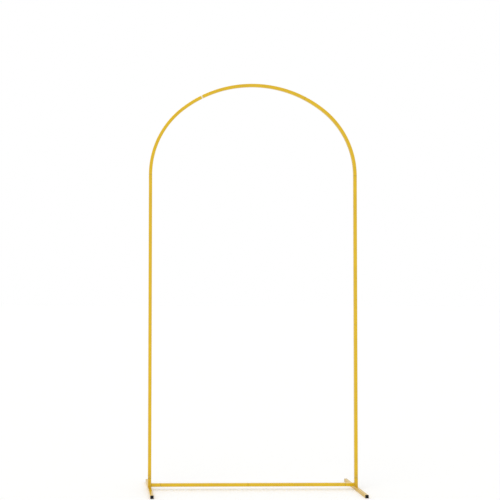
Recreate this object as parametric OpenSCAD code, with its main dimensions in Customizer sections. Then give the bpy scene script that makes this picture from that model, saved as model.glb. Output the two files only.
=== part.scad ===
// Free-standing wedding arch of square steel tube, in millimetres.
// The origin is on the floor, midway between the feet. X runs across the arch, Y front to back, Z up.
// The front is towards -Y. Straight and bent tubes slip over inner sleeves, two feet carry the legs,
// and a low bar ties the feet together.

/* [Tube] */
// Outer width of the square tube
tube_w = 16; // [12:0.5:22]
// Wall thickness of the tube
tube_wall = 1; // [0.8:0.1:1.6]
// Radius of the tube's outer corners
tube_corner = 2; // [1.2:0.1:3]

/* [Legs] */
// Distance between the centre lines of the two legs
leg_span = 1016; // [800:2:1300]
// Length of a lower leg tube
lower_leg_len = 750; // [400:1:1000]
// Length of an upper leg tube
upper_leg_len = 737; // [400:1:1000]

/* [Curved top] */
// Rise of the top's centre line above the ends of the legs
arch_rise = 446; // [400:1:520]
// Angle from the summit to the end of the flatter middle curve, in degrees
crown_turn = 38; // [34:1:44]
// Angle from the summit to the upper end of a side piece, in degrees
joint_turn = 27; // [15:1:28]
// How far the crown's left joint stands open, so that its sleeve shows
open_joint = 8; // [0:0.5:15]

/* [Feet] */
// Length of a foot, front to back, over its end caps
foot_len = 400; // [300:2:600]
// Thickness of the part of an end cap that shows
cap_flange = 3; // [2:0.5:5]
// How far an end cap reaches into the tube
cap_depth = 14; // [8:1:30]
// Wall thickness of the part of an end cap inside the tube
cap_wall = 1.5; // [1:0.1:2]
// Clearance on each side between an end cap and the inside of the tube
cap_play = 0.2; // [0.1:0.05:0.4]

/* [Base] */
// Height of the upright stub that is welded on a foot
post_stub_h = 43; // [38:1:100]
// Height of the bar's underside above the top of a foot
bar_lift = 2; // [1:0.5:10]
// Length of the bar's stub, from the upright stub to the joint
bar_stub_len = 46; // [40:1:120]
// Distance of the bar's middle joint from the centre, towards the left
bar_joint_shift = 26; // [0:1:150]

/* [Sleeves] */
// How far an inner sleeve reaches past its joint
sleeve_reach = 35; // [24:1:50]
// Wall thickness of an inner sleeve
sleeve_wall = 1; // [0.8:0.1:1.4]
// Clearance on each side between a sleeve and the tube that slides over it
sleeve_play = 0.25; // [0.1:0.05:0.4]

/* [Base screws] */
// Height of a base screw above the joint of stub and leg
screw_rise = 8; // [6:0.5:18]
// Diameter of the screw's thread
screw_d = 4; // [3:0.5:5]
// Length of the screw under its head
screw_len = 8; // [5:0.5:9]
// Clearance on each side between the screw and the leg's hole
screw_play = 0.2; // [0.1:0.05:0.4]
// Diameter of the screw's head
screw_head_d = 8; // [7:0.5:9]
// Thickness of the screw's head
screw_head_h = 2.4; // [1.6:0.1:3.5]
// Width across the flats of the socket in the head
screw_socket_w = 2.5; // [2:0.1:4]
// Depth of the socket in the head
screw_socket_depth = 1.3; // [0.8:0.1:1.5]

/* [Hidden] */
$fn = 64;

GOLD = "#dfb534";
BLACK = "#1e1e20";
STEEL = "#a9abad";
YELLOW_ZINC = "#c9a64a";

// Least radius that a rounded corner keeps
corner_min = 0.3;
// How far a cutting shape stands past what it cuts
past = 1;
// Facets of a full turn of a bend
bend_sides = 360;
// Sides of the screw's socket
socket_sides = 6;

bore_w = tube_w - 2 * tube_wall;
bore_corner = max(tube_corner - tube_wall, corner_min);
slide_w = bore_w - 2 * sleeve_play;
sleeve_bore_w = slide_w - 2 * sleeve_wall;
cap_plug_w = bore_w - 2 * cap_play;

leg_x = leg_span / 2;
foot_top = tube_w;
base_joint_z = foot_top + post_stub_h;
leg_joint_z = base_joint_z + lower_leg_len;
spring_z = leg_joint_z + upper_leg_len;
summit_z = spring_z + arch_rise;

bar_z = foot_top + bar_lift + tube_w / 2;
bar_stub_x = leg_x - tube_w / 2;
bar_end_x = bar_stub_x - bar_stub_len;
screw_z = base_joint_z + screw_rise;

// The top is three tangent arcs: a flat one over the middle and a tighter one over each leg.
// Their centres lie this far apart, which makes the arcs meet the legs and the summit.
centre_gap = (leg_x - arch_rise) / (sin(crown_turn) + cos(crown_turn) - 1);
crown_r = arch_rise + centre_gap * cos(crown_turn);
haunch_r = leg_x - centre_gap * sin(crown_turn);

// Angle in degrees that an arc of this length covers
function degrees_of(arc_len, radius) = arc_len / radius * 180 / PI;

open_turn = degrees_of(open_joint, crown_r);

// Square with rounded corners, centred
module rounded_square(w, corner) {
    inner = w - 2 * corner;
    square([w, inner], center = true);
    square([inner, w], center = true);
    for (x = [-1, 1], y = [-1, 1])
        translate([x * inner / 2, y * inner / 2]) circle(r = corner);
}

module tube_section() {
    difference() {
        rounded_square(tube_w, tube_corner);
        rounded_square(bore_w, bore_corner);
    }
}

// Section of a sleeve that is this wide outside
module sleeve_section(w) {
    difference() {
        rounded_square(w, bore_corner);
        rounded_square(sleeve_bore_w, bore_corner);
    }
}

// Extrudes a section upright, from one height to another
module upright(from_z, to_z) {
    translate([0, 0, from_z]) linear_extrude(to_z - from_z) children();
}

// Extrudes a section across the arch, from one X to another
module crosswise(from_x, to_x, z) {
    translate([from_x, 0, z]) rotate([0, 90, 0]) linear_extrude(to_x - from_x) children();
}

// Bends an upright section from the origin, upwards and towards -X
module bend(radius, turn) {
    translate([-radius, 0, 0]) rotate([90, 0, 0])
        rotate_extrude(angle = turn, $fn = bend_sides) translate([radius, 0]) children();
}

// Turns a piece that runs upwards so that it runs down
module downwards() {
    mirror([0, 0, 1]) children();
}

// Puts a piece that runs upwards from the origin on the flatter curve, at this angle from the
// summit, so that it runs towards the summit
module on_curve(turn) {
    translate([crown_r * sin(turn), 0, summit_z - crown_r + crown_r * cos(turn)])
        rotate([0, turn - 90, 0]) children();
}

// Puts a piece that is drawn at the middle on the right leg, or mirrored on the left one
module on_leg(side) {
    if (side < 0) mirror([1, 0, 0]) translate([leg_x, 0, 0]) children();
    else translate([leg_x, 0, 0]) children();
}

// Keeps a piece that is drawn on the right, or mirrors it to the left
module on_side(side) {
    if (side < 0) mirror([1, 0, 0]) children();
    else children();
}

module foot_tube(side) {
    tube_len = foot_len - 2 * cap_flange;
    color(GOLD) on_leg(side) translate([0, tube_len / 2, tube_w / 2])
        rotate([90, 0, 0]) linear_extrude(tube_len) tube_section();
}

// End cap of a foot: a square flange, and a hollow plug inside the tube
module foot_cap(side, end) {
    color(BLACK) on_leg(side) translate([0, 0, tube_w / 2])
        rotate([0, 0, end > 0 ? 180 : 0]) translate([0, -foot_len / 2, 0]) rotate([-90, 0, 0]) {
            linear_extrude(cap_flange) rounded_square(tube_w, tube_corner);
            translate([0, 0, cap_flange]) linear_extrude(cap_depth) difference() {
                rounded_square(cap_plug_w, bore_corner);
                rounded_square(cap_plug_w - 2 * cap_wall, bore_corner);
            }
        }
}

module post_stub(side) {
    color(GOLD) on_leg(side) upright(foot_top, base_joint_z) tube_section();
}

module bar_stub(side) {
    color(GOLD) on_side(side) crosswise(bar_end_x, bar_stub_x, bar_z) tube_section();
}

// The bar is two tubes that meet off the centre
module left_bar_tube() {
    color(GOLD) crosswise(-bar_end_x, -bar_joint_shift, bar_z) tube_section();
}

module right_bar_tube() {
    color(GOLD) crosswise(-bar_joint_shift, bar_end_x, bar_z) tube_section();
}

// Lower leg, with a hole in its front for the base screw
module lower_leg(side) {
    color(GOLD) on_leg(side) difference() {
        upright(base_joint_z, leg_joint_z) tube_section();
        translate([0, 0, screw_z]) rotate([90, 0, 0])
            cylinder(h = tube_w / 2 + past, d = screw_d + 2 * screw_play);
    }
}

module upper_leg(side) {
    color(GOLD) on_leg(side) upright(leg_joint_z, spring_z) tube_section();
}

// Side piece of the top: the tight curve over the leg and the start of the flatter one
module haunch_tube(side) {
    color(GOLD) on_side(side) on_curve(crown_turn) {
        bend(crown_r, crown_turn - joint_turn) tube_section();
        downwards() bend(haunch_r, 90 - crown_turn) tube_section();
    }
}

// Middle piece of the top, which stops short of the left side piece
module crown_tube() {
    color(GOLD) on_curve(joint_turn) bend(crown_r, 2 * joint_turn - open_turn) tube_section();
}

// Sleeve that stands on the foot, fills the stub and enters the leg, tapped for the screw
module base_sleeve(side) {
    color(STEEL) on_leg(side) difference() {
        union() {
            upright(foot_top, base_joint_z) sleeve_section(bore_w);
            upright(base_joint_z, base_joint_z + sleeve_reach) sleeve_section(slide_w);
        }
        translate([0, 0, screw_z]) rotate([90, 0, 0])
            cylinder(h = tube_w / 2 + past, d = screw_d);
    }
}

module bar_end_sleeve(side) {
    color(STEEL) on_side(side) {
        crosswise(bar_end_x, bar_stub_x, bar_z) sleeve_section(bore_w);
        crosswise(bar_end_x - sleeve_reach, bar_end_x, bar_z) sleeve_section(slide_w);
    }
}

module bar_middle_sleeve() {
    color(STEEL) translate([-bar_joint_shift, 0, 0]) {
        crosswise(-sleeve_reach, 0, bar_z) sleeve_section(bore_w);
        crosswise(0, sleeve_reach, bar_z) sleeve_section(slide_w);
    }
}

module leg_sleeve(side) {
    color(STEEL) on_leg(side) {
        upright(leg_joint_z - sleeve_reach, leg_joint_z) sleeve_section(bore_w);
        upright(leg_joint_z, leg_joint_z + sleeve_reach) sleeve_section(slide_w);
    }
}

// Sleeve that is fixed in the curved side piece and slides into the upper leg
module shoulder_sleeve(side) {
    color(STEEL) on_leg(side) translate([0, 0, spring_z]) {
        bend(haunch_r, degrees_of(sleeve_reach, haunch_r)) sleeve_section(bore_w);
        downwards() linear_extrude(sleeve_reach) sleeve_section(slide_w);
    }
}

// Sleeve that is fixed in the crown tube and slides into the side piece
module crown_sleeve(side) {
    sleeve_turn = degrees_of(sleeve_reach, crown_r);
    crown_end_turn = side < 0 ? joint_turn - open_turn : joint_turn;
    color(STEEL) on_side(side) on_curve(crown_end_turn) {
        bend(crown_r, sleeve_turn) sleeve_section(bore_w);
        downwards() bend(crown_r, sleeve_turn) sleeve_section(slide_w);
    }
}

// Screw that holds the leg to its sleeve, with its head on the leg's front
module base_screw(side) {
    color(YELLOW_ZINC) on_leg(side) translate([0, -tube_w / 2, screw_z]) rotate([90, 0, 0])
        difference() {
            union() {
                cylinder(h = screw_head_h, d = screw_head_d);
                translate([0, 0, -screw_len]) cylinder(h = screw_len, d = screw_d);
            }
            translate([0, 0, screw_head_h - screw_socket_depth])
                cylinder(h = screw_socket_depth + past, $fn = socket_sides,
                    d = screw_socket_w / cos(180 / socket_sides));
        }
}

foot_tube(-1);  // left_foot_tube
foot_tube(1);  // right_foot_tube
foot_cap(-1, -1);  // left_front_foot_cap
foot_cap(-1, 1);  // left_rear_foot_cap
foot_cap(1, -1);  // right_front_foot_cap
foot_cap(1, 1);  // right_rear_foot_cap
post_stub(-1);  // left_post_stub
post_stub(1);  // right_post_stub
bar_stub(-1);  // left_bar_stub
bar_stub(1);  // right_bar_stub
left_bar_tube();
right_bar_tube();
lower_leg(-1);  // left_lower_leg
lower_leg(1);  // right_lower_leg
upper_leg(-1);  // left_upper_leg
upper_leg(1);  // right_upper_leg
haunch_tube(-1);  // left_haunch_tube
haunch_tube(1);  // right_haunch_tube
crown_tube();
base_sleeve(-1);  // left_base_sleeve
base_sleeve(1);  // right_base_sleeve
bar_end_sleeve(-1);  // left_bar_end_sleeve
bar_end_sleeve(1);  // right_bar_end_sleeve
bar_middle_sleeve();
leg_sleeve(-1);  // left_leg_sleeve
leg_sleeve(1);  // right_leg_sleeve
shoulder_sleeve(-1);  // left_shoulder_sleeve
shoulder_sleeve(1);  // right_shoulder_sleeve
crown_sleeve(-1);  // left_crown_sleeve
crown_sleeve(1);  // right_crown_sleeve
base_screw(-1);  // left_base_screw
base_screw(1);  // right_base_screw
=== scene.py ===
"""Visual model of a free-standing wedding arch of gold-painted square steel tube, in metres.

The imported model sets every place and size. The tubes, end caps, screws and weld beads are built
around it here, and the inner sleeves keep their own meshes with a better finish. X runs across
the arch, Y from front to back and Z up. The front is towards -Y.
"""

import logging
import math
from abc import ABC, abstractmethod
from dataclasses import dataclass
from enum import Enum
from typing import Any

import bmesh
import bpy
from mathutils import Matrix, Vector


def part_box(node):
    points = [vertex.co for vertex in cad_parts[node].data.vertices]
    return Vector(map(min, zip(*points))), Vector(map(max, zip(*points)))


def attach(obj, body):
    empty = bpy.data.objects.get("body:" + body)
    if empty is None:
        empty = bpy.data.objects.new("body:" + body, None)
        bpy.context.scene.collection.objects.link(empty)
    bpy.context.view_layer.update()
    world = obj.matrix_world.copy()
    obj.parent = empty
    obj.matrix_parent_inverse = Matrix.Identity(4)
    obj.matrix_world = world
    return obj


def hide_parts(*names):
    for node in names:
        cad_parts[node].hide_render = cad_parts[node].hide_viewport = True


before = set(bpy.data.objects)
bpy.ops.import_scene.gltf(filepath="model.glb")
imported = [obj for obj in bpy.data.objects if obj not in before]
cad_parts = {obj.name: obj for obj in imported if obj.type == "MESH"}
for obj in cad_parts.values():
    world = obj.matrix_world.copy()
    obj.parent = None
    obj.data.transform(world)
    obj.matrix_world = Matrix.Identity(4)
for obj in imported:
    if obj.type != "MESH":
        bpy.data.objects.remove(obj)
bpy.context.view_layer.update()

log = logging.getLogger("wedding_arch")

Colour = tuple[float, float, float, float]
Material = bpy.types.Material
Piece = bpy.types.Object
Ring = list[Vector]
Socket = bpy.types.NodeSocket
Tree = bpy.types.NodeTree

MM = 0.001
BODY = "root"
WHITE: Colour = (1.0, 1.0, 1.0, 1.0)
# Types of the nodes that come up most
MATHS, SPAN, MIX, NOISE = "ShaderNodeMath", "ShaderNodeMapRange", "ShaderNodeMix", "ShaderNodeTexNoise"
# Nearly all of a noise lies between these values
NOISE_SPAN = (0.3, 0.7)


class Side(Enum):
    """Side of the arch, seen from the front. The value is the sign of X."""

    LEFT = -1
    RIGHT = 1

    def node(self, name: str) -> str:
        """Name of this side's node or piece."""
        return f"{self.name.lower()}_{name}"


class FootEnd(Enum):
    """End of a foot. The value is the turn about Z from the front, in radians."""

    FRONT = 0.0
    REAR = math.pi


class TubeEnd(Enum):
    """How a tube ends. A joint keeps half of a hairline gap, and a fixed end keeps none."""

    JOINT = 0.5
    FIXED = 0.0


class Coating(Enum):
    """What the powder coat lies on."""

    TUBE = "tube"
    WELD = "weld"


class DrawAxis(Enum):
    """Direction in which a sleeve was drawn. The value is the stretch of its marks on X, Y, Z."""

    ALONG_X = (0.02, 1.0, 1.0)
    ALONG_Z = (1.0, 1.0, 0.02)


def linear(hex_colour: str) -> Colour:
    """Turns an sRGB hex colour into a linear one.

    Args:
        hex_colour: Colour such as "#dfb534".

    Returns:
        Linear red, green and blue, and an alpha of 1.
    """
    channels = [int(hex_colour[i:i + 2], 16) / 255 for i in (1, 3, 5)]
    red, green, blue = (c / 12.92 if c <= 0.04045 else ((c + 0.055) / 1.055) ** 2.4 for c in channels)
    return red, green, blue, 1.0


def add_node(
    tree: Tree, kind: str, inputs: list | dict[str, Any], output: str = "", **settings: Any
) -> Socket | None:
    """Adds a node with its settings and links.

    Args:
        tree: Tree of a material, of the world or of a shape.
        kind: Type of the node.
        inputs: Values, or output sockets to link, in the inputs' order or by their identifiers.
        output: Identifier of the wanted output. Without it, the first one in use is meant.
        **settings: Values of the node's own properties.

    Returns:
        The wanted output socket, or None where the node has none.
    """
    node = tree.nodes.new(kind)
    for name, value in settings.items():
        setattr(node, name, value)
    sockets = {socket.identifier: socket for socket in node.inputs if socket.enabled}
    chosen = inputs if isinstance(inputs, dict) else dict(zip(sockets, inputs))
    for name, value in chosen.items():
        if isinstance(value, Socket):
            tree.links.new(value, sockets[name])
        else:
            sockets[name].default_value = value
    wanted = (socket for socket in node.outputs if socket.enabled and output in ("", socket.identifier))
    return next(wanted, None)


class Finish(ABC):
    """Look of one real material."""

    name: str

    @abstractmethod
    def surface(self, tree: Tree) -> dict[str, Any]:
        """Works out what the material's shader gets.

        Args:
            tree: The material's tree.

        Returns:
            A value, or the output socket to link, for each input of the Principled shader.
        """

    def material(self) -> Material:
        """Makes the finish's material."""
        material = bpy.data.materials.new(self.name)
        material.use_nodes = True
        tree = material.node_tree
        tree.nodes.clear()
        shader = add_node(tree, "ShaderNodeBsdfPrincipled", self.surface(tree))
        add_node(tree, "ShaderNodeOutputMaterial", [shader])
        return material


@dataclass(frozen=True)
class PowderCoat(Finish):
    """Gold polyester powder coat, sprayed dry on steel tube and baked.

    The powder melts to an even satin film, with a clear skin of binder over its flakes. The eye
    sees a warm solid gold with broad, soft highlights that turns pale at a grazing angle, a faint
    orange peel, a fine mica glint, a thin dark line where the film ends at a joint, and corners
    that handling has rubbed a little smoother and lighter.
    """

    name: str
    coating: Coating
    # Distance of the feet from the middle of the arch
    foot_x: float
    face: str = "#e2ba11"
    shade: str = "#c9a018"
    seam: str = "#7d5f20"
    rubbed: str = "#e6c04c"
    metallic: float = 0.4
    roughness: float = 0.4
    roughness_spread: float = 0.03
    # The clear skin carries all the gloss, so the film under it has none of its own
    skin: float = 0.85
    skin_roughness: float = 0.1
    gloss: float = 0.0
    # Distance between patches of thicker and thinner film, and the most shade in a thin one
    patch: float = 70 * MM
    patch_shade: float = 0.3
    # Mica flakes are under 0.1 mm, so they are drawn coarser in order to show at all
    flake: float = 0.6 * MM
    glint: tuple[float, float] = (0.95, 1.05)
    # Waves of the orange peel, and their height
    peel: float = 2.2 * MM
    peel_height: float = 0.03 * MM
    # Least and most rubbing of the corners, and how much smoother a rubbed corner is
    rubbing: tuple[float, float] = (0.1, 0.5)
    polish: float = -0.15
    # Painted shade on the lowest gold near each foot: its share at the floor, and the height above the
    # floor and the distance from a foot up to which it darkens the gold
    painted_shade: float = 0.7
    painted_shade_height: float = 110 * MM
    painted_shade_reach: float = 40 * MM
    # Width and strength of the dark line at a joint
    seam_width: float = 1.0 * MM
    seam_share: float = 0.9

    def surface(self, tree: Tree) -> dict[str, Any]:
        """Lays painted shade near the feet, wear, seams, glint and orange peel over the film's patches."""
        place = add_node(tree, "ShaderNodeTexCoord", [], "Object")
        film = add_node(tree, NOISE, [place, 1 / self.patch])
        thin = add_node(tree, SPAN, [film, *NOISE_SPAN, 0.0, self.patch_shade])
        colour = add_node(tree, MIX, [thin, linear(self.face), linear(self.shade)], data_type="RGBA")
        # Painted shade: the gold darkens towards the floor near each foot
        painted_shade = self.painted_shade_share(tree, place)
        colour = add_node(tree, MIX, [painted_shade, colour, linear(self.shade)], data_type="RGBA")
        ends = (self.roughness - self.roughness_spread, self.roughness + self.roughness_spread)
        roughness = add_node(tree, SPAN, [film, *NOISE_SPAN, *ends])
        if self.coating is Coating.TUBE:
            corner = add_node(tree, "ShaderNodeAttribute", [], "Fac", attribute_name="corner")
            touched = add_node(tree, SPAN, [film, *NOISE_SPAN, *self.rubbing])
            wear = add_node(tree, MATHS, [corner, touched], operation="MULTIPLY")
            colour = add_node(tree, MIX, [wear, colour, linear(self.rubbed)], data_type="RGBA")
            roughness = add_node(tree, MATHS, [wear, self.polish, roughness], operation="MULTIPLY_ADD")
            colour = add_node(tree, MIX, [self.seam_line(tree), colour, linear(self.seam)], data_type="RGBA")
        cells = add_node(tree, "ShaderNodeTexVoronoi", [place, 1 / self.flake], "Color")
        glint = add_node(tree, SPAN, [cells, 0.0, 1.0, *self.glint])
        colour = add_node(tree, MIX, [1.0, colour, glint], data_type="RGBA", blend_type="MULTIPLY")
        peel = add_node(tree, NOISE, [place, 1 / self.peel, 1.0])
        bump = {"Strength": 1.0, "Distance": self.peel_height, "Height": peel}
        return {
            "Base Color": colour,
            "Metallic": self.metallic,
            "Roughness": roughness,
            "Specular IOR Level": self.gloss,
            "Coat Weight": self.skin,
            "Coat Roughness": self.skin_roughness,
            "Normal": add_node(tree, "ShaderNodeBump", bump),
        }

    def painted_shade_share(self, tree: Tree, place: Socket) -> Socket:
        """Works out how much painted shade a place gets. Low places near a foot get it, and the middle of the
        bar doesn't.

        Args:
            tree: The material's tree.
            place: Place on the object, in metres.

        Returns:
            The share, from 0 to 1.
        """
        axes = add_node(tree, "ShaderNodeSeparateXYZ", [place]).node.outputs
        # Painted shade: strongest at the floor, gone at the set height
        low = add_node(tree, SPAN, [axes["Z"], 0.0, self.painted_shade_height, self.painted_shade, 0.0])
        from_middle = add_node(tree, MATHS, [axes["X"]], operation="ABSOLUTE")
        near = add_node(tree, SPAN, [from_middle, self.foot_x - self.painted_shade_reach, self.foot_x])
        return add_node(tree, MATHS, [low, near], operation="MULTIPLY")

    def seam_line(self, tree: Tree) -> Socket:
        """Works out how much of the seam's colour shows, from the distance to the tube's nearer end.

        Args:
            tree: The material's tree.

        Returns:
            The share, from 0 to 1.
        """
        along = add_node(tree, "ShaderNodeAttribute", [], "Fac", attribute_name="along")
        whole = add_node(tree, "ShaderNodeAttribute", [], "Fac", attribute_name="tube_length")
        to_end = add_node(tree, MATHS, [whole, along], operation="SUBTRACT")
        nearer = add_node(tree, MATHS, [along, to_end], operation="MINIMUM")
        return add_node(tree, SPAN, [nearer, 0.0, self.seam_width, self.seam_share, 0.0])


@dataclass(frozen=True)
class MouldedPolyethylene(Finish):
    """Black low-density polyethylene, injection moulded in a spark-eroded tool.

    It is soft and waxy. The eye sees a near-black with a dull sheen and a fine, even grain.
    """

    name: str = "moulded_black_polyethylene"
    face: str = "#0c0c0c"
    flow: str = "#151514"
    roughness: float = 0.5
    roughness_spread: float = 0.04
    ior: float = 1.51
    # The grain's pits swallow part of the gloss
    gloss: float = 0.15
    # Grain of the eroded tool is about 0.1 mm, drawn coarser in order to show at all
    grain: float = 0.35 * MM
    grain_height: float = 0.02 * MM
    # Width of the faint patches left by the flow of the melt
    flow_width: float = 6 * MM

    def surface(self, tree: Tree) -> dict[str, Any]:
        """Lays the tool's grain over the patches of the melt."""
        place = add_node(tree, "ShaderNodeTexCoord", [], "Object")
        melt = add_node(tree, NOISE, [place, 1 / self.flow_width])
        ends = (self.roughness - self.roughness_spread, self.roughness + self.roughness_spread)
        grain = add_node(tree, NOISE, [place, 1 / self.grain])
        bump = {"Strength": 1.0, "Distance": self.grain_height, "Height": grain}
        return {
            "Base Color": add_node(tree, MIX, [melt, linear(self.face), linear(self.flow)], data_type="RGBA"),
            "Roughness": add_node(tree, SPAN, [melt, *NOISE_SPAN, *ends]),
            "IOR": self.ior,
            "Specular IOR Level": self.gloss,
            "Normal": add_node(tree, "ShaderNodeBump", bump),
        }


@dataclass(frozen=True)
class DrawnSteel(Finish):
    """Bare bright steel tube, cold drawn through a die and oiled.

    The eye sees a pale, warm grey metal with fine lines along the tube, and cloudy patches
    where the oil has dried to a straw-coloured film.
    """

    name: str
    axis: DrawAxis
    bright: str = "#f0e4c0"
    oiled: str = "#e2cd92"
    # Least and most roughness, on and between the lines
    roughness: tuple[float, float] = (0.25, 0.38)
    # Distance between die lines, which are really finer, drawn so that they show
    line: float = 0.5 * MM
    line_height: float = 0.01 * MM
    # Size of the oily patches
    patch: float = 14 * MM

    def surface(self, tree: Tree) -> dict[str, Any]:
        """Draws the die's lines along the tube, under the oil's patches."""
        place = add_node(tree, "ShaderNodeTexCoord", [], "Object")
        drawn = add_node(tree, "ShaderNodeMapping", {"Vector": place, "Scale": self.axis.value})
        lines = add_node(tree, NOISE, [drawn, 1 / self.line])
        oil = add_node(tree, NOISE, [place, 1 / self.patch])
        colour = add_node(tree, MIX, [oil, linear(self.bright), linear(self.oiled)], data_type="RGBA")
        bump = {"Strength": 1.0, "Distance": self.line_height, "Height": lines}
        return {
            "Base Color": colour,
            "Metallic": 1.0,
            "Roughness": add_node(tree, SPAN, [lines, *NOISE_SPAN, *self.roughness]),
            "Normal": add_node(tree, "ShaderNodeBump", bump),
        }


@dataclass(frozen=True)
class YellowZinc(Finish):
    """Zinc-plated steel with a yellow chromate film.

    The eye sees a pale brassy metal whose thin film shifts between yellow, green and rose.
    """

    name: str = "yellow_zinc_plated_steel"
    yellow: str = "#cdb25c"
    green: str = "#b0a968"
    rose: str = "#c79f78"
    # Parts of the film's noise in which green fades out, and rose comes in
    green_span: tuple[float, float] = (0.3, 0.5)
    rose_span: tuple[float, float] = (0.55, 0.75)
    rose_share: float = 0.8
    roughness: tuple[float, float] = (0.26, 0.36)
    # Width of a patch of one tint
    patch: float = 2.5 * MM

    def surface(self, tree: Tree) -> dict[str, Any]:
        """Lays patches of green and rose over the yellow film."""
        place = add_node(tree, "ShaderNodeTexCoord", [], "Object")
        film = add_node(tree, NOISE, [place, 1 / self.patch])
        green = add_node(tree, SPAN, [film, *self.green_span, 1.0, 0.0])
        rose = add_node(tree, SPAN, [film, *self.rose_span, 0.0, self.rose_share])
        colour = add_node(tree, MIX, [green, linear(self.yellow), linear(self.green)], data_type="RGBA")
        return {
            "Base Color": add_node(tree, MIX, [rose, colour, linear(self.rose)], data_type="RGBA"),
            "Metallic": 1.0,
            "Roughness": add_node(tree, SPAN, [film, *NOISE_SPAN, *self.roughness]),
        }


@dataclass(frozen=True)
class ShapeTree:
    """Geometry Nodes tree with named inputs, whose result is plain faces of one material."""

    tree: Tree
    # Socket of each named input
    given: dict[str, Socket]

    @classmethod
    def begin(cls, name: str, inputs: dict[str, str]) -> "ShapeTree":
        """Starts a tree.

        Args:
            name: The tree's name.
            inputs: Kind of each named input, after the geometry and before the material.

        Returns:
            The tree with its inputs.
        """
        tree = bpy.data.node_groups.new(name, "GeometryNodeTree")
        tree.interface.new_socket("Geometry", in_out="OUTPUT", socket_type="NodeSocketGeometry")
        for socket, kind in {"Geometry": "Geometry", **inputs, "Material": "Material"}.items():
            tree.interface.new_socket(socket, in_out="INPUT", socket_type=f"NodeSocket{kind}")
        start = add_node(tree, "NodeGroupInput", []).node
        return cls(tree, {socket.name: socket for socket in start.outputs})

    def end(self, geometry: Socket) -> "ShapeTree":
        """Ends the tree with smooth, real faces of the given material.

        Args:
            geometry: The finished shape.

        Returns:
            This tree.
        """
        smooth = add_node(self.tree, "GeometryNodeSetShadeSmooth", {"Geometry": geometry})
        real = add_node(self.tree, "GeometryNodeRealizeInstances", {"Geometry": smooth})
        dressed = {"Geometry": real, "Material": self.given["Material"]}
        add_node(self.tree, "NodeGroupOutput", [add_node(self.tree, "GeometryNodeSetMaterial", dressed)])
        return self

    def drive(self, piece: Piece, values: dict[str, Any]) -> None:
        """Puts the tree on a piece and sets its inputs by their identifiers.

        Args:
            piece: Object that holds the path or the points.
            values: Value of each named input.
        """
        identifiers = {item.name: item.identifier for item in self.tree.interface.items_tree}
        modifier = piece.modifiers.new(self.tree.name, "NODES")
        modifier.node_group = self.tree
        for name, value in values.items():
            modifier[identifiers[name]] = value


def square_tube_tree() -> ShapeTree:
    """Makes the tree that runs the outside of a rounded square tube along a path.

    Each point keeps how far along the tube it lies, the tube's length, and whether it is on a
    rounded corner.
    """
    sizes = {name: "Float" for name in ("Width", "Corner Radius", "Gap at Start", "Gap at End")}
    shape = ShapeTree.begin("square_tube_along_path", {**sizes, "Corner Steps": "Int"})
    tree, given = shape.tree, shape.given
    whole = add_node(tree, "GeometryNodeMeshToCurve", {"Mesh": given["Geometry"]})
    whole_length = add_node(tree, "GeometryNodeSplineLength", [])
    last = add_node(tree, MATHS, [whole_length, given["Gap at End"]], operation="SUBTRACT")
    trim = {"Curve": whole, "Start_001": given["Gap at Start"], "End_001": last}
    path = add_node(tree, "GeometryNodeTrimCurve", trim, mode="LENGTH")
    along = add_node(tree, "GeometryNodeSplineParameter", [], "Length")
    tube_length = add_node(tree, "GeometryNodeSplineLength", [])
    for name, value in (("along", along), ("tube_length", tube_length)):
        kept = {"Geometry": path, "Name": name, "Value": value}
        path = add_node(tree, "GeometryNodeStoreNamedAttribute", kept)

    width, corner = given["Width"], given["Corner Radius"]
    square = add_node(tree, "GeometryNodeCurvePrimitiveQuadrilateral", {"Width": width, "Height": width})
    rounding = {"Curve": square, "Radius": corner, "Count": given["Corner Steps"]}
    outline = add_node(tree, "GeometryNodeFilletCurve", rounding, mode="POLY")
    place = add_node(tree, "GeometryNodeInputPosition", [])
    axes = add_node(tree, "ShaderNodeSeparateXYZ", [place]).node.outputs
    across = [add_node(tree, MATHS, [axes[axis]], operation="ABSOLUTE") for axis in "XY"]
    nearer = add_node(tree, MATHS, across, operation="MINIMUM")
    half = add_node(tree, MATHS, [width, 0.5], operation="MULTIPLY")
    flat_end = add_node(tree, MATHS, [half, corner], operation="SUBTRACT")
    roundness = add_node(tree, SPAN, [nearer, flat_end, half])
    kept = {"Geometry": outline, "Name": "corner", "Value": roundness}
    profile = add_node(tree, "GeometryNodeStoreNamedAttribute", kept)
    return shape.end(add_node(tree, "GeometryNodeCurveToMesh", {"Curve": path, "Profile Curve": profile}))


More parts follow.
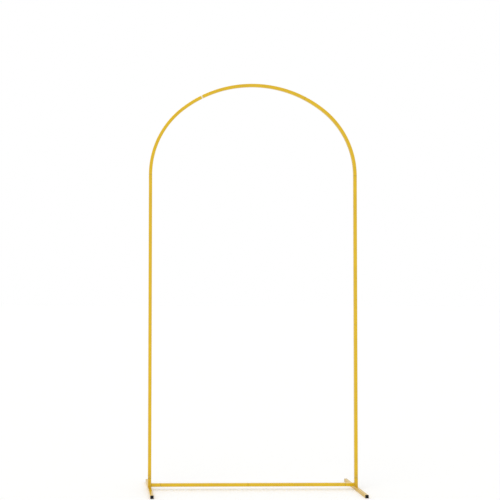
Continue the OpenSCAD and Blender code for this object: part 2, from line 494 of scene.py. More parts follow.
def weld_bead_tree() -> ShapeTree:
    """Makes the tree that runs a rippled weld bead along each path.

    Each path carries its bead's radius as an attribute. The ripples differ a little in height,
    and both ends of a bead are rounded off.
    """
    sizes = {name: "Float" for name in ("Ripple Spacing", "Valley Size", "Least Ripple", "End Size")}
    counts = {name: "Int" for name in ("Rings per Ripple", "Sides", "Seed")}
    shape = ShapeTree.begin("weld_bead_along_path", {**sizes, **counts})
    tree, given = shape.tree, shape.given
    whole = add_node(tree, "GeometryNodeMeshToCurve", {"Mesh": given["Geometry"]})
    step = add_node(tree, MATHS, [given["Ripple Spacing"], given["Rings per Ripple"]], operation="DIVIDE")
    path = add_node(tree, "GeometryNodeResampleCurve", {"Curve": whole, "Length": step}, mode="LENGTH")
    along = add_node(tree, "GeometryNodeSplineParameter", [], "Length")
    length = add_node(tree, "GeometryNodeSplineLength", [])
    radius = add_node(tree, "GeometryNodeInputNamedAttribute", {"Name": "bead_radius"}, data_type="FLOAT")

    ripple = add_node(tree, MATHS, [along, given["Ripple Spacing"]], operation="DIVIDE")
    turn = add_node(tree, MATHS, [ripple, math.pi], operation="MULTIPLY")
    wave = add_node(tree, MATHS, [turn], operation="SINE")
    crest = add_node(tree, MATHS, [wave], operation="ABSOLUTE")
    rise = add_node(tree, SPAN, [crest, 0.0, 1.0, given["Valley Size"], 1.0])
    number = add_node(tree, MATHS, [ripple], operation="FLOOR")
    draw = {"Min_001": given["Least Ripple"], "Max_001": 1.0, "ID": number, "Seed": given["Seed"]}
    uneven = add_node(tree, "FunctionNodeRandomValue", draw, data_type="FLOAT")

    to_end = add_node(tree, MATHS, [length, along], operation="SUBTRACT")
    nearer = add_node(tree, MATHS, [along, to_end], operation="MINIMUM")
    inside = add_node(tree, SPAN, [nearer, 0.0, radius, 1.0, 0.0])
    squared = add_node(tree, MATHS, [inside, inside], operation="MULTIPLY")
    left = add_node(tree, MATHS, [1.0, squared], operation="SUBTRACT")
    nose = add_node(tree, MATHS, [left], operation="SQRT")
    # A bead's very ends keep a little width, so that their closing faces aren't points
    blunt = add_node(tree, MATHS, [nose, given["End Size"]], operation="MAXIMUM")
    size = radius
    for share in (blunt, rise, uneven):
        size = add_node(tree, MATHS, [size, share], operation="MULTIPLY")

    circle = add_node(tree, "GeometryNodeCurvePrimitiveCircle", {"Resolution": given["Sides"], "Radius": 1.0})
    return shape.end(add_node(tree, "GeometryNodeCurveToMesh", [path, circle, size, True]))


def copies_tree() -> ShapeTree:
    """Makes the tree that puts a copy of a small part on each point, turned by given angles."""
    shape = ShapeTree.begin("copies_on_points", {"Copied Part": "Object", "Turn": "Vector"})
    tree, given = shape.tree, shape.given
    part = add_node(tree, "GeometryNodeObjectInfo", {"Object": given["Copied Part"]}, "Geometry")
    copied = {"Points": given["Geometry"], "Instance": part, "Rotation": given["Turn"]}
    return shape.end(add_node(tree, "GeometryNodeInstanceOnPoints", copied))


def new_piece(name: str, points: list[Vector], edges: list[tuple[int, int]]) -> Piece:
    """Makes an object at the origin that holds points and edges for a tree to work on.

    Args:
        name: The piece's name.
        points: Places of the points.
        edges: Pairs of points that an edge joins.

    Returns:
        The new object.
    """
    mesh = bpy.data.meshes.new(name)
    mesh.from_pydata(points, edges, [])
    piece = bpy.data.objects.new(name, mesh)
    bpy.context.scene.collection.objects.link(piece)
    return piece


def settle(piece: Piece) -> None:
    """Turns what a piece's modifiers make into its own plain mesh.

    Args:
        piece: Object whose modifiers are taken over and removed.
    """
    depsgraph = bpy.context.evaluated_depsgraph_get()
    mesh = bpy.data.meshes.new_from_object(
        piece.evaluated_get(depsgraph), preserve_all_data_layers=True, depsgraph=depsgraph
    )
    old = piece.data
    piece.modifiers.clear()
    piece.data = mesh
    bpy.data.meshes.remove(old)
    mesh.name = piece.name


def measure_along(piece: Piece, path: list[Vector]) -> None:
    """Measures a straight tube's points anew, because a cut leaves its own points unmeasured.

    Args:
        piece: The tube.
        path: Both ends of its centre line.
    """
    start, end = path
    whole = end - start
    attributes = piece.data.attributes
    for vertex, along in zip(piece.data.vertices, attributes["along"].data):
        along.value = (vertex.co - start).dot(whole.normalized())
    for tube_length in attributes["tube_length"].data:
        tube_length.value = whole.length


def mount(piece: Piece, slot: str, *nodes: str) -> Piece:
    """Puts a finished piece on the arch's body and reports it.

    Args:
        piece: The finished piece.
        slot: Material slot of the record that it belongs to. Not used.
        *nodes: Nodes that it stands for.

    Returns:
        The same piece.
    """
    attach(piece, BODY)
    if nodes:
        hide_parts(*nodes)
    corners = [Vector(c) for c in piece.bound_box]
    off = 0.0
    for node in nodes:
        for place, pick in zip(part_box(node), (min, max)):
            off = max(off, *(abs(place[axis] - pick(c[axis] for c in corners)) for axis in range(3)))
    log.info("%s: %d faces, %.2f mm off its node", piece.name, len(piece.data.polygons), off / MM)
    return piece


def rounded_square(width: float, corner: float, y: float, steps: int) -> Ring:
    """Works out one ring of a cap, square with rounded corners, in the plane of X and Z.

    Args:
        width: Width over the flats.
        corner: Radius of the corners.
        y: Place of the ring along Y.
        steps: Steps of each corner.

    Returns:
        The ring's points.
    """
    ring = []
    inner = width / 2 - corner
    for quarter, (right, up) in enumerate(((1, 1), (-1, 1), (-1, -1), (1, -1))):
        for step in range(steps + 1):
            turn = math.pi / 2 * (quarter + step / steps)
            x, z = right * inner + corner * math.cos(turn), up * inner + corner * math.sin(turn)
            ring.append(Vector((x, y, z)))
    return ring


def round_ring(radius: float, y: float, sides: int) -> Ring:
    """Works out one round ring of a screw, in the plane of X and Z.

    Args:
        radius: Radius of the ring.
        y: Place of the ring along Y.
        sides: Number of its points.

    Returns:
        The ring's points.
    """
    turns = [math.tau * step / sides for step in range(sides)]
    return [Vector((radius * math.cos(turn), y, radius * math.sin(turn))) for turn in turns]


def hexagon_ring(across_flats: float, y: float, sides: int) -> Ring:
    """Works out one ring of a hexagon socket, with points spread along its sides.

    Args:
        across_flats: Width across the flats.
        y: Place of the ring along Y.
        sides: Number of its points, a multiple of six.

    Returns:
        The ring's points.
    """
    ring = []
    for step in range(sides):
        turn = math.tau * step / sides
        from_flat = (turn % (math.pi / 3)) - math.pi / 6
        radius = across_flats / 2 / math.cos(from_flat)
        ring.append(Vector((radius * math.cos(turn), y, radius * math.sin(turn))))
    return ring


def skin(name: str, rings: list[Ring]) -> Piece:
    """Makes a closed part by joining rings of equally many points, closed at the first and last.

    Args:
        name: Name of the part.
        rings: Rings in order from one end of the part's surface to the other.

    Returns:
        The part, not yet in its place.
    """
    shape = bmesh.new()
    made = [[shape.verts.new(point) for point in ring] for ring in rings]
    count = len(rings[0])
    for first, second in zip(made, made[1:]):
        for i in range(count):
            k = (i + 1) % count
            shape.faces.new((first[i], first[k], second[k], second[i]))
    shape.faces.new(reversed(made[0]))
    shape.faces.new(made[-1])
    bmesh.ops.recalc_face_normals(shape, faces=shape.faces)
    mesh = bpy.data.meshes.new(name)
    shape.to_mesh(mesh)
    shape.free()
    part = bpy.data.objects.new(name, mesh)
    bpy.context.scene.collection.objects.link(part)
    return part


@dataclass(frozen=True)
class Straight:
    """Centre line of a straight tube."""

    start: Vector
    end: Vector

    @classmethod
    def through(cls, node: str) -> "Straight":
        """Finds the centre line of a straight node.

        Args:
            node: Name of the node.

        Returns:
            The line through the middle of the node's box, along its longest side.
        """
        low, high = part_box(node)
        axis = max(range(3), key=lambda i: high[i] - low[i])
        start = (low + high) / 2
        end = start.copy()
        start[axis], end[axis] = low[axis], high[axis]
        return cls(start, end)

    def points(self) -> list[Vector]:
        """The line's two ends."""
        return [self.start, self.end]


@dataclass(frozen=True)
class Arc:
    """Centre line of a bend in the plane of the arch, by its turn from the vertical."""

    centre: Vector
    radius: float
    start: float
    end: float
    # Turn from one ring to the next. Rings lie at odd halves of it, so none is at the summit,
    # and the faceted bend stays under the height of the true one.
    step: float = math.radians(1.6)
    # Turn of the short first and last step, which keeps the tube's ends square to the arc
    end_step: float = math.radians(0.05)

    def at(self, turn: float) -> Vector:
        """Point of the arc at this turn."""
        return self.centre + self.radius * Vector((math.sin(turn), 0, math.cos(turn)))

    def points(self) -> list[Vector]:
        """Works out the arc's points, closer together at its ends.

        Returns:
            The points from the start to the end.
        """
        low, high = sorted((self.start, self.end))
        first = math.ceil((low + 2 * self.end_step) / self.step - 0.5)
        last = math.floor((high - 2 * self.end_step) / self.step - 0.5)
        turns = [low, low + self.end_step]
        turns += [(k + 0.5) * self.step for k in range(first, last + 1)]
        turns += [high - self.end_step, high]
        if self.start > self.end:
            turns.reverse()
        return [self.at(turn) for turn in turns]


@dataclass(frozen=True)
class TubeStock:
    """Square steel tube that every piece of the frame is cut from."""

    width: float
    wall: float
    corner: float = 2 * MM
    corner_steps: int = 6
    # Bevel of each cut end, which shows a joint as a fine groove
    end_bevel: float = 0.4 * MM
    joint_gap: float = 0.3 * MM

    @classmethod
    def from_frame(cls) -> "TubeStock":
        """Reads the tube's width, and its wall from the sleeve that fills its bore."""
        low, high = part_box("left_upper_leg")
        sleeve_low, sleeve_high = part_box("left_leg_sleeve")
        width = high.x - low.x
        return cls(width, (width - (sleeve_high.x - sleeve_low.x)) / 2)


@dataclass(frozen=True)
class Finishes:
    """The materials of the arch."""

    paint: Material
    weld_paint: Material
    plastic: Material
    crosswise_steel: Material
    upright_steel: Material
    zinc: Material

    @classmethod
    def mix(cls) -> "Finishes":
        """Makes every material once."""
        low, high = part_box("right_post_stub")
        foot_x = (low.x + high.x) / 2
        # The beads' darker gold is painted shade of the crevices between the tubes that they lie in
        on_weld = PowderCoat("gold_powder_coat_on_weld", Coating.WELD, foot_x, face="#cfa22c")
        return cls(
            paint=PowderCoat("gold_powder_coat", Coating.TUBE, foot_x).material(),
            weld_paint=on_weld.material(),
            plastic=MouldedPolyethylene().material(),
            crosswise_steel=DrawnSteel("drawn_steel_crosswise", DrawAxis.ALONG_X).material(),
            upright_steel=DrawnSteel("drawn_steel_upright", DrawAxis.ALONG_Z).material(),
            zinc=YellowZinc().material(),
        )


@dataclass(frozen=True)
class Workshop:
    """What every sub-assembly is made with: the stock, the finishes and the shape trees."""

    stock: TubeStock
    finishes: Finishes
    tube_tree: ShapeTree
    bead_tree: ShapeTree
    copy_tree: ShapeTree

    @classmethod
    def equip(cls) -> "Workshop":
        """Reads the stock from the frame and makes the finishes and trees."""
        trees = (square_tube_tree(), weld_bead_tree(), copies_tree())
        return cls(TubeStock.from_frame(), Finishes.mix(), *trees)

    def tube(
        self,
        node: str,
        path: list[Vector],
        start: TubeEnd = TubeEnd.JOINT,
        end: TubeEnd = TubeEnd.JOINT,
        hole: Piece | None = None,
    ) -> Piece:
        """Makes one painted tube in the place of its node.

        Args:
            node: Node that the tube stands for.
            path: Points of its centre line.
            start: How it ends at the path's first point.
            end: How it ends at the path's last point.
            hole: Shape that is cut out of its wall.

        Returns:
            The mounted piece.
        """
        stock = self.stock
        edges = [(i, i + 1) for i in range(len(path) - 1)]
        piece = new_piece(f"painted_{node}", path, edges)
        self.tube_tree.drive(
            piece,
            {
                "Width": stock.width,
                "Corner Radius": stock.corner,
                "Corner Steps": stock.corner_steps,
                "Gap at Start": start.value * stock.joint_gap,
                "Gap at End": end.value * stock.joint_gap,
                "Material": self.finishes.paint,
            },
        )
        wall = piece.modifiers.new("wall", "SOLIDIFY")
        wall.thickness = stock.wall
        wall.offset = -1
        wall.use_even_offset = True
        if hole is not None:
            cut = piece.modifiers.new("hole", "BOOLEAN")
            cut.operation = "DIFFERENCE"
            cut.object = hole
        bevel = piece.modifiers.new("cut_ends", "BEVEL")
        bevel.width = stock.end_bevel
        bevel.segments = 2
        bevel.limit_method = "ANGLE"
        bevel.angle_limit = math.radians(50)
        flats = piece.modifiers.new("flats", "WEIGHTED_NORMAL")
        flats.mode = "FACE_AREA"
        settle(piece)
        if hole is not None:
            bpy.data.objects.remove(hole)
            measure_along(piece, path)
        return mount(piece, "gold_paint", node)

    def copy(
        self, name: str, part: Piece, place: Vector, turn: float, material: Material
    ) -> Piece:
        """Puts a small part in its place as a piece of its own, and removes the part.

        Args:
            name: Name of the piece.
            part: Part that is made at the origin and faces the front.
            place: Where it goes.
            turn: Its turn about Z, in radians.
            material: Its finish.

        Returns:
            The piece, not yet mounted.
        """
        piece = new_piece(name, [place], [])
        self.copy_tree.drive(piece, {"Copied Part": part, "Turn": (0.0, 0.0, turn), "Material": material})
        flats = piece.modifiers.new("flats", "WEIGHTED_NORMAL")
        flats.mode = "FACE_AREA"
        settle(piece)
        bpy.data.objects.remove(part)
        return piece


@dataclass(frozen=True)
class EndCap:
    """Square plug that closes the end of a foot, with a slightly domed face."""

    width: float
    corner: float
    flange: float
    plug_width: float
    plug_depth: float
    plug_wall: float = 1.5 * MM
    # Room between the plug and the tube's bore
    play: float = 0.2 * MM
    # Rounding of the flange's front edge, rise of its domed face, and the dome's inner rings as
    # shares of its width
    edge: float = 0.9 * MM
    dome: float = 0.35 * MM
    dome_rings: tuple[float, ...] = (0.8, 0.6, 0.4)
    # Fins round the plug that grip the tube, and half the foot of one as a share of their pitch
    fins: int = 4
    fin_rise: float = 0.1 * MM
    fin_foot: float = 0.2
    # Shallow round dimple left by the mould's gate, in the middle of the face
    gate_width: float = 3.2 * MM
    gate_depth: float = 0.2 * MM
    corner_steps: int = 6
    edge_steps: int = 5

    @classmethod
    def from_frame(cls, stock: TubeStock) -> "EndCap":
        """Works out the cap from the boxes of one foot's tube and cap.

        Args:
            stock: Tube that the cap closes.

        Returns:
            The cap's sizes.
        """
        cap_low, cap_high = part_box("left_front_foot_cap")
        tube_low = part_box("left_foot_tube")[0]
        return cls(
            width=cap_high.x - cap_low.x,
            corner=stock.corner,
            flange=tube_low.y - cap_low.y,
            plug_width=stock.width - 2 * (stock.wall + cls.play),
            plug_depth=cap_high.y - tube_low.y,
        )

    def ring(self, width: float, corner: float, y: float) -> Ring:
        """One ring of the cap."""
        return rounded_square(width, corner, y, self.corner_steps)

    def part(self) -> Piece:
        """Makes the cap at the origin, facing the front, with the back of its flange at Y = 0.

        Returns:
            The part, not yet in its place.
        """
        plug_corner = self.corner / 2
        hollow = self.plug_width - 2 * self.plug_wall
        rings = [self.ring(hollow, plug_corner, 0.0), self.ring(hollow, plug_corner, self.plug_depth)]
        rings.append(self.ring(self.plug_width, plug_corner, self.plug_depth))
        fin_pitch = self.plug_depth / (self.fins + 1)
        for fin in range(self.fins, 0, -1):
            for offset, rise in ((self.fin_foot, 0.0), (0.0, self.fin_rise), (-self.fin_foot, 0.0)):
                y = (fin + offset) * fin_pitch
                rings.append(self.ring(self.plug_width + 2 * rise, plug_corner, y))
        rings.append(self.ring(self.plug_width, plug_corner, 0.0))
        rings.append(self.ring(self.width, self.corner, 0.0))
        rings += self.front()
        return skin("end_cap", rings)

    def front(self) -> list[Ring]:
        """Works out the rings of the flange's rounded edge and its domed face.

        Returns:
            The rings, from the edge to the middle of the face.
        """
        rings = []
        rim = self.flange - self.dome
        for step in range(self.edge_steps + 1):
            turn = math.radians(90 * step / self.edge_steps)
            inset = self.edge * (1 - math.cos(turn))
            y = -(rim - self.edge + self.edge * math.sin(turn))
            rings.append(self.ring(self.width - 2 * inset, self.corner - inset, y))
        face = self.width - 2 * self.edge
        gate = self.gate_width / face
        for share in self.dome_rings:
            rise = self.dome * (1 - share ** 2) / (1 - gate ** 2)
            rings.append(self.ring(face * share, self.corner - self.edge, -(rim + rise)))
        # The dimple is round: its corners take up the whole width
        for share, depth in ((1.0, 0.0), (0.9, self.gate_depth), (0.4, self.gate_depth)):
            width = self.gate_width * share
            rings.append(self.ring(width, width / 2, depth - self.flange))
        return rings


@dataclass(frozen=True)
class SocketScrew:
    """Screw with a low round head and a hexagon socket."""

    head_radius: float
    head_height: float
    length: float
    shank_radius: float = 2 * MM
    pitch: float = 0.7 * MM
    # Depth of the thread, as a share of its pitch
    thread_depth: float = 0.6
    socket_width: float = 2.5 * MM
    socket_depth: float = 1.3 * MM
    # Rounding of the head's front edge, and bevel around the socket
    edge: float = 1.1 * MM
    lead_in: float = 0.25 * MM
    sides: int = 48
    edge_steps: int = 6

    @classmethod
    def from_frame(cls, node: str, seat_y: float) -> "SocketScrew":
        """Works out the screw from its node's box.

        Args:
            node: Name of the screw's node.
            seat_y: Face of the tube that the head sits on.

        Returns:
            The screw's sizes.
        """
        low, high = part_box(node)
        return cls((high.x - low.x) / 2, seat_y - low.y, high.y - seat_y)

    def part(self) -> Piece:
        """Makes the screw at the origin, facing the front, with its seat at Y = 0.

        Returns:
            The part, not yet in its place.
        """
        rings = [round_ring(self.shank_radius - self.pitch / 2, self.length, self.sides)]
        root = self.shank_radius - self.thread_depth * self.pitch
        turns = int(self.length / self.pitch)
        for turn in range(turns, 0, -1):
            crest = min(turn * self.pitch, self.length - self.pitch / 2)
            rings.append(round_ring(self.shank_radius, crest, self.sides))
            rings.append(round_ring(root, crest - self.pitch / 2, self.sides))
        rings.append(round_ring(self.shank_radius, 0.0, self.sides))
        rings.append(round_ring(self.head_radius, 0.0, self.sides))
        for step in range(self.edge_steps + 1):
            turn = math.radians(90 * step / self.edge_steps)
            radius = self.head_radius - self.edge * (1 - math.cos(turn))
            y = -(self.head_height - self.edge + self.edge * math.sin(turn))
            rings.append(round_ring(radius, y, self.sides))
        mouth = self.socket_width / math.sqrt(3) + self.lead_in
        rings.append(round_ring(mouth, -self.head_height, self.sides))
        rings.append(hexagon_ring(self.socket_width, self.lead_in - self.head_height, self.sides))
        rings.append(hexagon_ring(self.socket_width, self.socket_depth - self.head_height, self.sides))
        return skin("socket_screw", rings)


@dataclass(frozen=True)
class WeldBeads:
    """Beads that join a foot to its upright stub, and the stub to the bar's stub."""

    fillet_radius: float = 1.6 * MM
    # Beads in the grooves beside rounded corners, which are dressed flush with the tubes
    flush_radius: float = 0.95 * MM
    ripple_spacing: float = 1.5 * MM
    # Sizes of the valley between two ripples, of the least ripple and of a bead's very end,
    # as shares of the bead's radius
    valley_size: float = 0.84
    least_ripple: float = 0.9
    end_size: float = 0.15
    rings_per_ripple: int = 6
    sides: int = 16
    seed: int = 7

    def runs(self, side: Side, stock: TubeStock) -> list[tuple[Vector, Vector, float]]:
        """Works out where the beads of one foot run.

        Args:
            side: Side of the arch.
            stock: Tube that is welded.

        Returns:
            Start, end and radius of each bead.
        """
        post_low, post_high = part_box(side.node("post_stub"))
        bar_low, bar_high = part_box(side.node("bar_stub"))
        seat = post_low.z
        mid_x, mid_y = (post_low.x + post_high.x) / 2, (post_low.y + post_high.y) / 2
        half, flat = stock.width / 2, stock.width / 2 - stock.corner
        flush = half - self.flush_radius
        bar_x = mid_x - side.value * half
        runs = []
        for way in (-1, 1):
            # In front of and behind the post, on the foot's flat top
            y = mid_y + way * half
            ends = (Vector((mid_x - flat, y, seat)), Vector((mid_x + flat, y, seat)))
            runs.append((*ends, self.fillet_radius))
            # On the post's left and right, in the groove over the foot's rounded edge
            x, z = mid_x + way * flush, seat - self.flush_radius
            runs.append((Vector((x, mid_y - flat, z)), Vector((x, mid_y + flat, z)), self.flush_radius))
            # At the bar's front and back, in the groove beside the post's rounded edge
            x, y = bar_x + side.value * self.flush_radius, mid_y + way * flush
            low_z, high_z = bar_low.z + stock.corner, bar_high.z - stock.corner
            runs.append((Vector((x, y, low_z)), Vector((x, y, high_z)), self.flush_radius))
        # Over the bar, against the post
        top = bar_high.z
        ends = (Vector((bar_x, mid_y - flat, top)), Vector((bar_x, mid_y + flat, top)))
        runs.append((*ends, self.fillet_radius))
        return runs

    def build(self, side: Side, shop: Workshop) -> Piece:
        """Makes the beads of one foot as one piece.

        Args:
            side: Side of the arch.
            shop: What the piece is made with.

        Returns:
            The mounted piece.
        """
        runs = self.runs(side, shop.stock)
        points = [point for start, end, _ in runs for point in (start, end)]
        edges = [(2 * i, 2 * i + 1) for i in range(len(runs))]
        piece = new_piece(side.node("base_welds"), points, edges)
        radii = piece.data.attributes.new("bead_radius", "FLOAT", "POINT")
        radii.data.foreach_set("value", [radius for _, _, radius in runs for _ in range(2)])
        shop.bead_tree.drive(
            piece,
            {
                "Ripple Spacing": self.ripple_spacing,
                "Valley Size": self.valley_size,
                "Least Ripple": self.least_ripple,
                "End Size": self.end_size,
                "Rings per Ripple": self.rings_per_ripple,
                "Sides": self.sides,
                "Seed": self.seed,
                "Material": shop.finishes.weld_paint,
            },
        )
        settle(piece)
        return mount(piece, "gold_paint")


@dataclass(frozen=True)
class Foot:
    """Foot that lies front to back, with its caps, welded stubs and beads."""

    side: Side
    cap: EndCap
    beads: WeldBeads

    def build(self, shop: Workshop) -> list[Piece]:
        """Makes the foot's pieces.

        Args:
            shop: What the pieces are made with.

        Returns:
            The mounted pieces.
        """
        name = self.side.node
        post = Straight.through(name("post_stub")).points()
        bar = sorted(Straight.through(name("bar_stub")).points(), key=lambda point: abs(point.x))
        foot = name("foot_tube")
        pieces = [
            shop.tube(foot, Straight.through(foot).points(), TubeEnd.FIXED, TubeEnd.FIXED),
            shop.tube(name("post_stub"), post, TubeEnd.FIXED, TubeEnd.JOINT),
            shop.tube(name("bar_stub"), bar, TubeEnd.JOINT, TubeEnd.FIXED),
        ]
        pieces += [self.close(end, shop) for end in FootEnd]
        pieces.append(self.beads.build(self.side, shop))
        return pieces

    def close(self, end: FootEnd, shop: Workshop) -> Piece:
        """Puts the cap in one end of the foot.

        Args:
            end: End of the foot.
            shop: What the piece is made with.

        Returns:
            The mounted cap.
        """
        node = self.side.node(f"{end.name.lower()}_foot_cap")
        front, rear = Straight.through(self.side.node("foot_tube")).points()
        place = front if end is FootEnd.FRONT else rear
        piece = shop.copy(f"moulded_{node}", self.cap.part(), place, end.value, shop.finishes.plastic)
        return mount(piece, "black_plastic", node)


@dataclass(frozen=True)
class Leg:
    """Leg of two tubes, and the screw that holds it to its sleeve in the base."""

    side: Side
    # Clearance around the screw in the leg's hole
    screw_play: float = 0.2 * MM

    def build(self, shop: Workshop) -> list[Piece]:
        """Makes the leg's pieces.

        Args:
            shop: What the pieces are made with.

        Returns:
            The mounted pieces.
        """
        lower, upper = self.side.node("lower_leg"), self.side.node("upper_leg")
        screw_node = self.side.node("base_screw")
        seat_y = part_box(lower)[0].y
        screw = SocketScrew.from_frame(screw_node, seat_y)
        low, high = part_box(screw_node)
        place = Vector(((low.x + high.x) / 2, seat_y, (low.z + high.z) / 2))
        drill = screw.shank_radius + self.screw_play
        reach = shop.stock.width / 2
        hole = skin("drill", [round_ring(drill, y, screw.sides) for y in (-reach, reach)])
        hole.data.transform(Matrix.Translation(place))
        facing = FootEnd.FRONT.value
        piece = shop.copy(f"plated_{screw_node}", screw.part(), place, facing, shop.finishes.zinc)
        return [
            shop.tube(lower, Straight.through(lower).points(), hole=hole),
            shop.tube(upper, Straight.through(upper).points()),
            mount(piece, "screw_zinc", screw_node),
        ]


@dataclass(frozen=True)
class LowBar:
    """Bar between the feet, of two tubes that meet off the centre."""

    def build(self, shop: Workshop) -> list[Piece]:
        """Makes the bar's two tubes.

        Args:
            shop: What the pieces are made with.

        Returns:
            The mounted pieces.
        """
        nodes = [side.node("bar_tube") for side in Side]
        return [shop.tube(node, Straight.through(node).points()) for node in nodes]


@dataclass(frozen=True)
class CurvedTop:
    """Top of three tangent arcs, in three tubes."""

    leg_x: float
    spring_z: float
    summit_z: float
    half: float
    # Turn from the summit at which the flat middle arc meets the tighter one over a leg
    crown_turn: float = math.radians(38)

    @classmethod
    def from_frame(cls, stock: TubeStock) -> "CurvedTop":
        """Reads the top's size from the boxes of a leg and of the crown.

        Args:
            stock: Tube that the top is bent from.

        Returns:
            The top's sizes, on its centre line.
        """
        low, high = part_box("right_upper_leg")
        half = stock.width / 2
        # The summit is a whole number of millimetres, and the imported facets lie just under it
        summit = round((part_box("crown_tube")[1].z - half) / MM) * MM
        return cls((low.x + high.x) / 2, high.z, summit, half)

    @property
    def centre_gap(self) -> float:
        """Distance between the centres of two neighbouring arcs, which makes them tangent."""
        turn = self.crown_turn
        rise = self.summit_z - self.spring_z
        return (self.leg_x - rise) / (math.sin(turn) + math.cos(turn) - 1)

    @property
    def crown_radius(self) -> float:
        """Radius of the flatter arc's centre line."""
        return self.summit_z - self.spring_z + self.centre_gap * math.cos(self.crown_turn)

    @property
    def haunch_radius(self) -> float:
        """Radius of a tighter arc's centre line."""
        return self.leg_x - self.centre_gap * math.sin(self.crown_turn)

    def crown(self, start: float, end: float) -> Arc:
        """Stretch of the flatter arc between two turns from the summit."""
        return Arc(Vector((0, 0, self.summit_z - self.crown_radius)), self.crown_radius, start, end)

    def haunch(self, side: Side) -> Arc:
        """Tighter arc over one leg, from the leg upwards."""
        centre = Vector((side.value * (self.leg_x - self.haunch_radius), 0, self.spring_z))
        quarter = math.pi / 2
        return Arc(centre, self.haunch_radius, side.value * quarter, side.value * self.crown_turn)

    def joint_turn(self) -> float:
        """Turn from the summit at which a side piece ends, read from the crown's right end."""
        return math.asin(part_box("crown_tube")[1].x / (self.crown_radius + self.half))

    def build(self, shop: Workshop) -> list[Piece]:
        """Makes the top's three tubes.

        Args:
            shop: What the pieces are made with.

        Returns:
            The mounted pieces.
        """
        joint = self.joint_turn()
        pieces = []
        for side in Side:
            upper = self.crown(side.value * self.crown_turn, side.value * joint)
            path = self.haunch(side).points()[:-1] + upper.points()
            pieces.append(shop.tube(side.node("haunch_tube"), path))
        # The crown's left end stops short of its joint, so that the sleeve shows there
        left_end = math.asin(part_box("crown_tube")[0].x / (self.crown_radius + self.half))
        pieces.append(shop.tube("crown_tube", self.crown(left_end, joint).points()))
        return pieces


@dataclass(frozen=True)
class InnerSleeves:
    """Steel sleeves inside the joints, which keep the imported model's meshes."""

    crosswise: tuple[str, ...] = ("bar_end_sleeve", "crown_sleeve")
    upright: tuple[str, ...] = ("base_sleeve", "leg_sleeve", "shoulder_sleeve")
    single: str = "bar_middle_sleeve"

    def build(self, shop: Workshop) -> list[Piece]:
        """Gives each sleeve the finish of drawn steel.

        Args:
            shop: What holds the finishes.

        Returns:
            The sleeves.
        """
        finishes = shop.finishes
        steels = {self.single: finishes.crosswise_steel}
        for side in Side:
            steels |= {side.node(name): finishes.crosswise_steel for name in self.crosswise}
            steels |= {side.node(name): finishes.upright_steel for name in self.upright}
        sleeves = []
        for node, steel in steels.items():
            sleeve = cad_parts[node]
            sleeve.data.materials.clear()
            sleeve.data.materials.append(steel)
            sleeves.append(sleeve)
            log.info("%s: dressed as %s", node, steel.name)
        return sleeves


@dataclass(frozen=True)
class PhotoCamera:
    """Camera at the photograph's viewing angle."""

    place: tuple[float, float, float] = (-0.799, -4.922, 1.011)
    # Turn towards +X, tilt upwards and roll, in degrees
    yaw: float = 1.94
    pitch: float = 1.88
    roll: float = 0.23
    lens: float = 72.2
    # The picture shows the arch from its left but square on, which takes a sideways shift
    shift: float = 0.25

    def build(self) -> None:
        """Makes the camera and gives it to the scene."""
        data = bpy.data.cameras.new("camera")
        data.lens = self.lens
        data.shift_x = self.shift
        camera = bpy.data.objects.new("camera", data)
        turn = Matrix.Rotation(-math.radians(self.yaw), 4, "Z")
        tilt = Matrix.Rotation(math.radians(90 + self.pitch), 4, "X")
        roll = Matrix.Rotation(math.radians(self.roll), 4, "Z")
        camera.matrix_world = Matrix.Translation(Vector(self.place)) @ turn @ tilt @ roll
        bpy.context.scene.collection.objects.link(camera)
        bpy.context.scene.camera = camera


def background_rays(tree: Tree) -> Socket:
    """Finds the rays that carry the background to the eye.

    Args:
        tree: Tree of a material or of the world.

    Returns:
        Socket that is 1 for camera, glossy and transmission rays, and otherwise 0.
    """
    rays = add_node(tree, "ShaderNodeLightPath", []).node.outputs
    seen = add_node(tree, MATHS, [rays["Is Camera Ray"], rays["Is Glossy Ray"]], operation="MAXIMUM")
    return add_node(tree, MATHS, [seen, rays["Is Transmission Ray"]], operation="MAXIMUM")


@dataclass(frozen=True)
class MattWhiteFloor(Finish):
    """Sheet of matt white card, which shows a soft shadow and no gloss."""

    name: str = "matt_white_card"
    face: str = "#f6f6f5"
    roughness: float = 0.9
    gloss: float = 0.1
    # Light that the floor gives to the camera alone, so that only the shadow falls under white
    lift: float = 0.12

    def surface(self, tree: Tree) -> dict[str, Any]:
        """Lifts the card's white for the eye alone."""
        lift = add_node(tree, MATHS, [background_rays(tree), self.lift], operation="MULTIPLY")
        return {
            "Base Color": linear(self.face),
            "Roughness": self.roughness,
            "Specular IOR Level": self.gloss,
            "Emission Color": WHITE,
            "Emission Strength": lift,
        }


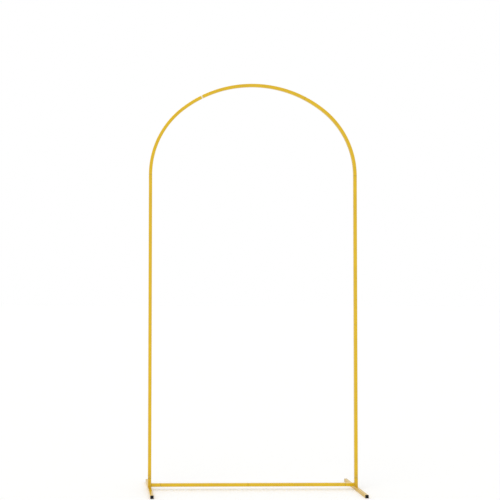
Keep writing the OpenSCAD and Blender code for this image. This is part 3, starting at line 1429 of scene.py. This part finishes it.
@dataclass(frozen=True)
class Studio:
    """Pale floor, white surroundings and one broad soft light from the front left."""

    floor_half: float = 40.0
    surroundings: float = 0.78
    # Where the soft light comes from, how wide it looks in degrees, and its strength
    light_from: tuple[float, float, float] = (-0.45, -0.75, 1.0)
    light_width: float = 40.0
    light_strength: float = 0.75

    def build(self) -> None:
        """Makes the floor, the surroundings and the light, and sets the view."""
        self.lay_floor()
        self.light_surroundings()
        self.hang_light()
        bpy.context.scene.view_settings.view_transform = "Standard"

    def lay_floor(self) -> None:
        """Lays the white floor."""
        half = self.floor_half
        corners = [(-half, -half, 0), (half, -half, 0), (half, half, 0), (-half, half, 0)]
        mesh = bpy.data.meshes.new("floor")
        mesh.from_pydata(corners, [], [(0, 1, 2, 3)])
        mesh.materials.append(MattWhiteFloor().material())
        floor = bpy.data.objects.new("floor", mesh)
        bpy.context.scene.collection.objects.link(floor)

    def light_surroundings(self) -> None:
        """Surrounds the arch with white, a little dimmer as a light than as a background."""
        world = bpy.data.worlds.new("white_studio")
        world.use_nodes = True
        bpy.context.scene.world = world
        tree = world.node_tree
        tree.nodes.clear()
        strength = add_node(tree, SPAN, [background_rays(tree), 0.0, 1.0, self.surroundings, 1.0])
        add_node(tree, "ShaderNodeOutputWorld", [add_node(tree, "ShaderNodeBackground", [WHITE, strength])])

    def hang_light(self) -> None:
        """Hangs the broad soft light, which is even over the whole floor."""
        data = bpy.data.lights.new("soft_light", "SUN")
        data.angle = math.radians(self.light_width)
        data.energy = self.light_strength
        light = bpy.data.objects.new("soft_light", data)
        light.rotation_euler = Vector(self.light_from).to_track_quat("Z", "Y").to_euler()
        bpy.context.scene.collection.objects.link(light)


def main() -> None:
    """Builds the studio and the arch, piece by piece."""
    logging.basicConfig(level=logging.INFO, format="%(message)s")
    PhotoCamera().build()
    Studio().build()
    shop = Workshop.equip()
    cap = EndCap.from_frame(shop.stock)
    assemblies = [Foot(side, cap, WeldBeads()) for side in Side]
    assemblies += [Leg(side) for side in Side]
    assemblies += [LowBar(), CurvedTop.from_frame(shop.stock), InnerSleeves()]
    for assembly in assemblies:
        pieces = assembly.build(shop)
        log.info("%s: %d pieces", type(assembly).__name__, len(pieces))


if __name__ == "__main__":
    main()
